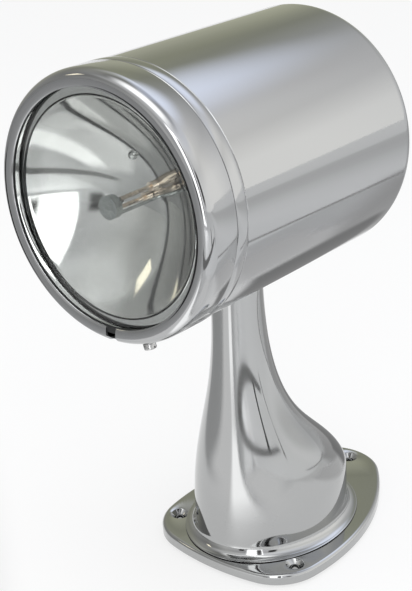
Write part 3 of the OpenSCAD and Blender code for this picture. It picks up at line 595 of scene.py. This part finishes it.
def prism(name, outline, z0, z1):
    """A cutter: an outline of (x, y) points between two heights, in millimetres."""
    bm = bmesh.new()
    loft(bm, [[(x, y, z) for x, y in outline] for z in (z0, z1)], capped=True)
    return mesh_object(name, bm)


def block(name, centre, axes, halves):
    """A cutter: a box about a centre, with its three axes and half sizes, in millimetres."""
    u, v, w = (axis*half for axis, half in zip(axes, halves))
    bm = bmesh.new()
    loft(bm, [[centre + u*a + v*b + w*c for a, b in SQUARE] for c in (-1, 1)], capped=True)
    return mesh_object(name, bm)


# Pedestal

def flare(h, end):
    return min(1.0, max(0.0, (FLARE_TOP - h)/(FLARE_TOP - end)))


def ease(t):
    return t*t*(3 - 2*t)


def section(h, out):
    """The pedestal's section at a height above the flange, grown outward by out."""
    side = ease(flare(h, FLARE_SIDE_END))**SIDE_POWER
    t = flare(h, FLARE_REAR_END)
    rear = FLARE_LEAD*t*t + (1 - FLARE_LEAD)*ease(t)**REAR_POWER
    mid = FOOT_WIDEST*rear
    half = NECK_R + (FOOT_HALF_W - NECK_R)*side + out
    ahead = NECK_R + (FOOT_FRONT - NECK_R)*side + out + mid
    behind = NECK_R + (FOOT_REAR - NECK_R)*rear + out - mid
    row = []
    for a in ring_angles(half, SECTION_SIDES):
        reach = ahead if math.sin(a) < 0 else behind
        row.append((half*math.cos(a), mid + reach*math.sin(a), FLANGE_TOP + h))
    return row


def make_pedestal():
    gear_foot = NECK_TOP - GEAR_H - FLANGE_TOP
    rows = [section(0.0, COVE_W - 2*FOOT_GAP), section(FOOT_GAP, COVE_W - 2*FOOT_GAP),
            section(FOOT_GAP, COVE_W - FOOT_GAP/2), section(2*FOOT_GAP, COVE_W),
            section(FOOT_EDGE, COVE_W - FOOT_LIP)]
    for a in quarter(COVE_STEPS)[1:-1]:
        h = FOOT_EDGE + (COVE_H - FOOT_EDGE)*(1 - math.cos(a))
        rows.append(section(h, (COVE_W - FOOT_LIP)*(1 - math.sin(a))))
    rows += [section(COVE_H + (gear_foot - COVE_H)*k/WALL_STEPS, 0.0)
             for k in range(WALL_STEPS + 1)]
    rows += [level_ring(SPIGOT_R, NECK_TOP - GEAR_H), level_ring(SPIGOT_R, NECK_TOP),
             level_ring(BORE_R, NECK_TOP), level_ring(BORE_R, BORE_FOOT)]
    top = BORE_FOOT - FLANGE_TOP
    rows += [section(top*(1 - k/BORE_STEPS), -WALL) for k in range(BORE_STEPS + 1)]
    bm = bmesh.new()
    loft(bm, rows, closed=True)
    finish_piece("pedestal_casting", bm, "chrome_casting", "base", ["pedestal"], sharp=50.0)


# Deck flange

def heading(x, y):
    return math.atan2(y, x)


def turn_on(start, end):
    return start + (end - start + 2*TURN) % TURN


def side_arc(i):
    """Centre, start and end angle of the bowed side that leaves corner i."""
    px, py, pr = CORNERS[i % 3]
    qx, qy, qr = CORNERS[(i + 1) % 3]
    d = math.hypot(qx - px, qy - py)
    ex, ey = (qx - px)/d, (qy - py)/d
    a, b = SIDE_R - pr, SIDE_R - qr
    u = (a*a - b*b + d*d)/(2*d)
    h = math.sqrt(a*a - u*u)
    cx, cy = px + u*ex - h*ey, py + u*ey + h*ex
    start = heading(px - cx, py - cy)
    return cx, cy, start, turn_on(start, heading(qx - cx, qy - cy))


def flange_outline():
    """Points of the flange's outline with their outward directions."""
    points = []
    for i in range(3):
        cx, cy, start, end = side_arc(i)
        qx, qy, qr = CORNERS[(i + 1) % 3]
        after = turn_on(end, side_arc(i + 1)[2])
        for k in range(SIDE_STEPS):
            a = start + (end - start)*k/SIDE_STEPS
            points.append((cx + SIDE_R*math.cos(a), cy + SIDE_R*math.sin(a), a))
        for k in range(CORNER_STEPS):
            a = end + (after - end)*k/CORNER_STEPS
            points.append((qx + qr*math.cos(a), qy + qr*math.sin(a), a))
    return points


def fill_plane(bm, loops):
    """Fills the flat region between loops of vertices."""
    edges = []
    for loop in loops:
        for k, v in enumerate(loop):
            edges.append(bm.edges.get((v, loop[(k + 1) % len(loop)])))
    bmesh.ops.triangle_fill(bm, use_beauty=True, use_dissolve=False, edges=edges)


def make_flange():
    rows = [(FOOT_CHAMFER, FLANGE_BOTTOM), (0.0, FLANGE_BOTTOM + FOOT_CHAMFER)]
    rows += [(EDGE_R*(1 - math.cos(a)), FLANGE_TOP - EDGE_R*(1 - math.sin(a)))
             for a in quarter(EDGE_STEPS)]
    outline = flange_outline()
    bm = bmesh.new()
    walls = [loft(bm, [[(x - inset*math.cos(a), y - inset*math.sin(a), z) for x, y, a in outline]
                       for inset, z in rows])]
    head_top = FLANGE_BOTTOM + FOOT_HEAD_H
    deck_hole = ((HOLE_R, FLANGE_BOTTOM), (HOLE_R, FLANGE_TOP - (SINK_R - HOLE_R)),
                 (SINK_R - SINK_LIP/2, FLANGE_TOP - SINK_LIP), (SINK_R + SINK_LIP, FLANGE_TOP))
    screw_hole = ((FOOT_HEAD_R, FLANGE_BOTTOM), (FOOT_HEAD_R, head_top),
                  (FOOT_SCREW_R, head_top), (FOOT_SCREW_R, FLANGE_TOP))
    cable_hole = ((CABLE_HOLE_R, FLANGE_BOTTOM), (CABLE_HOLE_R, FLANGE_TOP))
    for places, sides, profile in ((DECK_HOLES, DECK_HOLE_SIDES, deck_hole),
                                   (FOOT_BOSSES, SCREW_HOLE_SIDES, screw_hole),
                                   (((0.0, 0.0),), CABLE_HOLE_SIDES, cable_hole)):
        for at in places:
            walls.append(loft(bm, [level_ring(r, z, sides, at) for r, z in profile]))
    fill_plane(bm, [rings[0] for rings in walls])
    fill_plane(bm, [rings[-1] for rings in walls])
    finish_piece("deck_flange", bm, "chrome_casting", "base", ["base_flange"])


# Head

def shell_profile():
    """The can's outside from the rear pole forward, then its inside back again."""
    bead_rear = BEAD_FRONT - BEAD_W
    corner_r, corner_s = SHELL_R - REAR_R, SHELL_REAR + REAR_R
    outside = [(0.0, SHELL_REAR), (corner_r - REAR_RING, SHELL_REAR)]
    outside += arc(corner_r, corner_s, REAR_R, -90, 0, SHELL_STEPS)
    outside += [(SHELL_R, bead_rear - BEAD_LEAD), (SHELL_R, bead_rear - CREASE_W)]
    for k in range(1, CREASE_STEPS):
        dip = CREASE_H*math.sin(math.pi*k/CREASE_STEPS)
        outside.append((SHELL_R - dip, bead_rear - CREASE_W*(1 - k/CREASE_STEPS)))
    for k in range(SHELL_STEPS + 1):
        u = 2*k/SHELL_STEPS - 1
        outside.append((SHELL_R + BEAD_H*math.sqrt(1 - u*u), bead_rear + BEAD_W*k/SHELL_STEPS))
    outside += [(COLLAR_R, BEAD_FRONT + COLLAR_STEP), (COLLAR_R, COLLAR_FRONT)]
    inside = [(COLLAR_R - SHELL_T, COLLAR_FRONT), (COLLAR_R - SHELL_T, BEAD_FRONT - SHELL_T),
              (SHELL_R - SHELL_T, bead_rear - SHELL_T)]
    inside += arc(corner_r, corner_s, REAR_R - SHELL_T, 0, -90, SHELL_STEPS)
    return outside + inside + [(0.0, SHELL_REAR + SHELL_T)]


def slot_outline():
    straight = SLOT_HALF_L - SLOT_HALF_W
    return (arc(0.0, straight, SLOT_HALF_W, 0, 180, SLOT_STEPS)
            + arc(0.0, -straight, SLOT_HALF_W, 180, 360, SLOT_STEPS))


def make_shell():
    shell = turned_piece("head_shell", shell_profile(), "chrome_sheet", "shell")
    cut_away(shell, prism("slot_cutter", slot_outline(), SLOT_CUT_FOOT, HEAD_Z))


def bezel_profile():
    """Band, long corner, crown and rounded lip, then the inside back again."""
    corner, lip = BEZEL_R - BEZEL_CROWN_R, BEZEL_CROWN_R - LIP_RI
    angles = quarter(BEZEL_STEPS)
    profile = [(BEZEL_R + out, BEZEL_REAR + ahead) for out, ahead in BEZEL_EDGE]
    for t in angles:
        profile.append((BEZEL_CROWN_R + corner*math.cos(t),
                        BEZEL_FRONT - BEZEL_LEAD*(1 - math.sin(t))))
    for t in angles[1:]:
        profile.append((BEZEL_CROWN_R - lip*math.sin(t), BEZEL_FRONT - BEZEL_T*(1 - math.cos(t))))
    for t in angles[::-2]:
        profile.append((BEZEL_CROWN_R + (corner - BEZEL_T)*math.cos(t),
                        BEZEL_FRONT - BEZEL_T - (BEZEL_LEAD - BEZEL_T/2)*(1 - math.sin(t))))
    return profile + [(BEZEL_R - BEZEL_T, BEZEL_REAR)]


def make_bezel():
    bezel = turned_piece("bezel_ring", bezel_profile(), "chrome_sheet", "bezel", closed=True)
    x0, x1 = NOTCH_X
    front, back = -BEZEL_FRONT - CUT_MARGIN, -BEZEL_FRONT + NOTCH_DEPTH
    outline = [(x0, front), (x1, front), (x1, back), (x0, back)]
    foot, top = HEAD_Z - BEZEL_R - CUT_MARGIN, HEAD_Z - LIP_RI + 2*CUT_MARGIN
    cut_away(bezel, prism("notch_cutter", outline, foot, top))


def dome(reach, ball, centre):
    """Points of a dome from its pole out to a radius."""
    radii = [reach*k/LENS_STEPS for k in range(LENS_STEPS + 1)]
    return [(r, centre + math.sqrt(ball**2 - r**2)) for r in radii]


def lens_profile():
    """Pressed glass: domed face, flat seat and rim, then the hollow back."""
    ball = (LIP_RI**2 + LENS_CROWN**2)/(2*LENS_CROWN)
    centre = RIM_FRONT + LENS_CROWN - ball
    edge = arc(LAMP_R - LENS_EDGE_R, RIM_FRONT - LENS_EDGE_R, LENS_EDGE_R, 90, 0, LENS_EDGE_STEPS)
    inner = ball - LENS_T
    top = centre + math.sqrt(inner**2 - MOUTH_R**2)
    last = MOUTH_R - LENS_FILLET
    hollow = [(MOUTH_R, RIM_BACK), (MOUTH_R, RIM_BACK + LENS_STEP)]
    hollow += arc(last, top - LENS_FILLET, LENS_FILLET, 0, 90, LENS_FILLET_STEPS)
    hollow += dome(last, inner, centre)[-2::-1]
    return dome(LIP_RI, ball, centre) + edge + [(LAMP_R, RIM_BACK)] + hollow


def bowl_point(r, back):
    """A point of the mirror's parabola, moved back square to it."""
    slope = r/(2*BOWL_FOCAL)
    k = back/math.sqrt(1 + slope*slope)
    return r + k*slope, BOWL_VERTEX + r*r/(4*BOWL_FOCAL) - k


def reflector_profile():
    """The mirror from its pole out, the rim, then the back of the bowl."""
    seat = LAMP_R - SEAT_W
    radii = [MOUTH_R*k/BOWL_STEPS for k in range(BOWL_STEPS + 1)]
    rim = [(LAMP_R, RIM_BACK), (LAMP_R, BOWL_RIM_BACK), (seat, BOWL_RIM_BACK)]
    behind = [bowl_point(r, BOWL_T) for r in reversed(radii)]
    behind = [(r, s) for r, s in behind if s < BOWL_RIM_BACK and r < seat]
    return [bowl_point(r, 0.0) for r in radii] + rim + behind


def make_lamp():
    turned_piece("lamp_lens", lens_profile(), "lamp_glass", "lens")
    turned_piece("lamp_reflector", reflector_profile(), "lamp_mirror", "reflector")


def make_tip():
    """The sealed exhaust tip: a small glass ring with a drawn point, on the mirror."""
    x, z = TIP_AT
    seat = BOWL_VERTEX + (x*x + z*z)/(4*BOWL_FOCAL)
    profile = [(TIP_R, seat - TIP_SUNK)]
    profile += arc(TIP_R - TIP_EDGE_R, seat + TIP_H - TIP_EDGE_R, TIP_EDGE_R,
                   0, TIP_ROLL, TIP_STEPS)
    profile += [(TIP_R*share, seat + rise) for share, rise in TIP_POINT]
    bm = bmesh.new()
    loft(bm, [head_ring(r, s, TIP_SIDES, TIP_AT) for r, s in profile], capped=True)
    finish_piece("lamp_tip", bm, "lamp_glass", "head", sharp=50.0)


def make_coil():
    """The filament as a coil of wire between its two posts."""
    cos_t, sin_t = math.cos(math.radians(LAMP_TURN)), math.sin(math.radians(LAMP_TURN))
    count = COIL_TURNS*COIL_STEPS
    rows = []
    for k in range(count + 1):
        a = TURN*k/COIL_STEPS
        along = (2*k/count - 1)*COIL_HALF_L
        row = []
        for b in ring_angles(WIRE_R, WIRE_SIDES):
            r = COIL_R + WIRE_R*math.cos(b)
            u, v, w = along + WIRE_R*math.sin(b), r*math.cos(a), FOCUS_S + r*math.sin(a)
            row.append((u*cos_t - v*sin_t, -w, HEAD_Z + u*sin_t + v*cos_t))
        rows.append(row)
    bm = bmesh.new()
    loft(bm, rows, capped=True)
    finish_piece("filament_coil", bm, "filament_wire", "head", ["filament"], sharp=60.0)


def make_bezel_screw():
    """A slotted cheese-head screw through the bezel's band."""
    down = math.radians(SCREW_ANGLE)
    out = Vector((math.cos(down), 0.0, -math.sin(down)))
    side = Vector((0.0, 1.0, 0.0))
    other = out.cross(side)
    start = Vector((0.0, -SCREW_S, HEAD_Z)) + out*(BEZEL_R + SCREW_GAP)
    profile = [(SCREW_HEAD_R - SCREW_BREAK, 0.0), (SCREW_HEAD_R, SCREW_BREAK)]
    profile += arc(SCREW_HEAD_R - SCREW_EDGE_R, SCREW_HEAD_H - SCREW_EDGE_R, SCREW_EDGE_R,
                   0, 90, SCREW_STEPS)
    profile += [(0.0, SCREW_HEAD_H)]
    bm = bmesh.new()
    rings = [[bm.verts.new(start + out*h + side*r*math.cos(a) + other*r*math.sin(a))
              for a in ring_angles(r, SCREW_SIDES)] for r, h in profile]
    bm.faces.new(rings[0])
    join_rings(bm, rings)
    screw = finish_piece("bezel_clamp_screw", bm, "stainless", "head", ["bezel_screw"], sharp=50.0)
    halves = (SCREW_SLOT_W/2, 2*SCREW_HEAD_R, SCREW_SLOT_H)
    cut_away(screw, block("screw_slot", start + out*SCREW_HEAD_H, (side, other, out), halves))


# Stage, light and camera

def paper_mask(tree, x, y):
    """1 on the white paper behind the object as the camera sees it, 0 on the floor round it."""
    cos_y, sin_y = math.cos(CAMERA_YAW), math.sin(CAMERA_YAW)
    ahead = math_node(tree, "SUBTRACT", math_node(tree, "MULTIPLY", y, cos_y),
                      math_node(tree, "MULTIPLY", x, sin_y))
    across = math_node(tree, "ADD", math_node(tree, "MULTIPLY", x, cos_y),
                       math_node(tree, "MULTIPLY", y, sin_y))
    off = math_node(tree, "ABSOLUTE", math_node(tree, "SUBTRACT", across, PAPER_OFFSET))
    beyond = math_node(tree, "SUBTRACT", off, math_node(tree, "MULTIPLY", ahead, PAPER_SPREAD))
    sides = fade(tree, beyond, PAPER_HALF + PAPER_FADE, PAPER_HALF)
    near = fade(tree, ahead, PAPER_NEAR - PAPER_FADE, PAPER_NEAR)
    return math_node(tree, "MULTIPLY", sides, near)


def seen_directly(tree):
    """1 for rays from the camera, and for what metal and glass show of it."""
    path = tree.nodes.new("ShaderNodeLightPath")
    first = math_node(tree, "MAXIMUM", path.outputs["Is Camera Ray"], path.outputs["Is Glossy Ray"])
    return math_node(tree, "MAXIMUM", first, path.outputs["Is Transmission Ray"])


def sheet(name, half_w, half_h, mat):
    """A flat rectangle about its own origin, in metres."""
    mesh = bpy.data.meshes.new(name)
    mesh.from_pydata([(a*half_w, b*half_h, 0) for a, b in SQUARE], [], [(0, 1, 2, 3)])
    mesh.materials.append(mat)
    return add_object(name, mesh)


def make_floor():
    mat = node_material("studio_floor")
    tree = mat.node_tree
    x, y, _ = coordinates(tree, "Object")
    paper = paper_mask(tree, x, y)
    bare = math_node(tree, "SUBTRACT", 1.0, paper)
    cover = math_node(tree, "MULTIPLY", tone_ramp(tree, x, FLOOR_TONES),
                      tone_ramp(tree, y, FLOOR_BACK))
    tone = math_node(tree, "ADD", math_node(tree, "MULTIPLY", cover, bare),
                     math_node(tree, "MULTIPLY", paper, PAPER_TONE))
    shader = tree.nodes["Principled BSDF"]
    shader.inputs["Roughness"].default_value = FLOOR_ROUGHNESS
    plug(mat, "Base Color", tone)
    plug(mat, "Specular IOR Level", math_node(tree, "MULTIPLY", bare, FLOOR_SHINE))
    white = tree.nodes.new("ShaderNodeEmission")
    lit = math_node(tree, "MULTIPLY", seen_directly(tree), paper)
    share = math_node(tree, "MULTIPLY", lit, PAPER_SHARE)
    mix_shaders(tree, share, shader.outputs["BSDF"], white.outputs["Emission"])
    floor = sheet("studio_floor", FLOOR_HALF, FLOOR_HALF, mat)


def card_material(name, size, brightness, soft):
    """A card that glows at its brightness, a painted highlight when bright and painted shade when
    dark, and fades out towards its edges.
    """
    mat = node_material(name)
    tree = mat.node_tree
    mask = 1.0
    for along, length in zip(coordinates(tree, "Object"), size):
        off = math_node(tree, "ABSOLUTE", along)
        mask = math_node(tree, "MULTIPLY", mask, fade(tree, off, length/2, length/2*(1 - soft)))
    glow = tree.nodes.new("ShaderNodeEmission")
    glow.inputs["Color"].default_value = (brightness, brightness, brightness, 1.0)
    clear = tree.nodes.new("ShaderNodeBsdfTransparent")
    mix_shaders(tree, mask, clear.outputs["BSDF"], glow.outputs["Emission"])
    return mat


def make_cards():
    # Hidden from the camera, diffuse light and shadows: painted highlights and painted shade for
    # reflections only
    for name, (at, size, turn, brightness, soft) in CARDS.items():
        card = sheet(name, size[0]/2, size[1]/2, card_material(name, size, brightness, soft))
        card.location = at
        card.rotation_euler = [math.radians(a) for a in turn]
        card.visible_camera = False
        card.visible_diffuse = False
        card.visible_shadow = False


def make_world():
    """A soft studio surround: bright to port, dark to starboard, with a cool glow overhead."""
    world = bpy.data.worlds.new("studio")
    bpy.context.scene.world = world
    world.use_nodes = True
    tree = world.node_tree
    x, y, z = coordinates(tree, "Generated")
    turn = map_range(tree, math_node(tree, "ARCTAN2", x, y), -math.pi, math.pi)
    low, high = (colour_ramp(tree, turn, [((bearing + 180)/360, colour)
                                          for bearing, colour in stops])
                 for stops in (SURROUND, CANOPY))
    foot, full = (math.sin(math.radians(height)) for height in (CANOPY_FOOT, CANOPY_FULL))
    sky = mix_colours(tree, "MIX", fade(tree, z, foot, full), low, high)
    upward = colour_ramp(tree, z, [(math.sin(math.radians(height)), (share, share, share))
                                   for height, share in OVERHEAD])
    sky = mix_colours(tree, "MULTIPLY", 1.0, sky, upward)
    tree.links.new(sky, tree.nodes["Background"].inputs["Color"])


def make_lights():
    for name, (at, size, power, colour, reflected) in SOFTBOXES.items():
        data = bpy.data.lights.new(name, "AREA")
        data.color = colour
        data.shape = "RECTANGLE"
        data.size, data.size_y = size
        data.energy = power
        light = add_object(name, data)
        light.location = at
        towards = Vector(SOFTBOX_AIM) - Vector(at)
        light.rotation_euler = towards.to_track_quat("-Z", "Y").to_euler()
        light.visible_glossy = reflected


def make_camera():
    data = bpy.data.cameras.new("photo_camera")
    data.sensor_width = SENSOR_MM
    data.lens = CAMERA_F*SENSOR_MM/IMAGE_H
    data.shift_x = (IMAGE_W/2 - CAMERA_CENTRE[0])/IMAGE_H
    data.shift_y = (CAMERA_CENTRE[1] - IMAGE_H/2)/IMAGE_H
    data.clip_start = CLIP_START_M
    back = Vector((math.sin(CAMERA_YAW)*math.cos(CAMERA_PITCH),
                   -math.cos(CAMERA_YAW)*math.cos(CAMERA_PITCH), math.sin(CAMERA_PITCH)))
    level = Vector((math.cos(CAMERA_YAW), math.sin(CAMERA_YAW), 0.0))
    upright = back.cross(level)
    right = math.cos(CAMERA_ROLL)*level + math.sin(CAMERA_ROLL)*upright
    up = back.cross(right)
    camera = add_object("photo_camera", data)
    turn = Matrix((right, up, back)).transposed().to_4x4()
    camera.matrix_world = Matrix.Translation(Vector(CAMERA_AT)*MM) @ turn
    bpy.context.scene.camera = camera


def dress_nodes():
    """Gives every CAD node the material of its slot."""
    for part in frame["record"]["subparts"]:
        obj = frame["nodes"][part["node"]]
        obj.data.materials.clear()
        obj.data.materials.append(MATERIALS[part["material_slot"]])


dress_nodes()
make_pedestal()
make_flange()
make_shell()
make_bezel()
make_lamp()
make_tip()
make_coil()
make_bezel_screw()
make_floor()
make_cards()
make_world()
make_lights()
make_camera()
bpy.context.scene.view_settings.view_transform = "Standard"
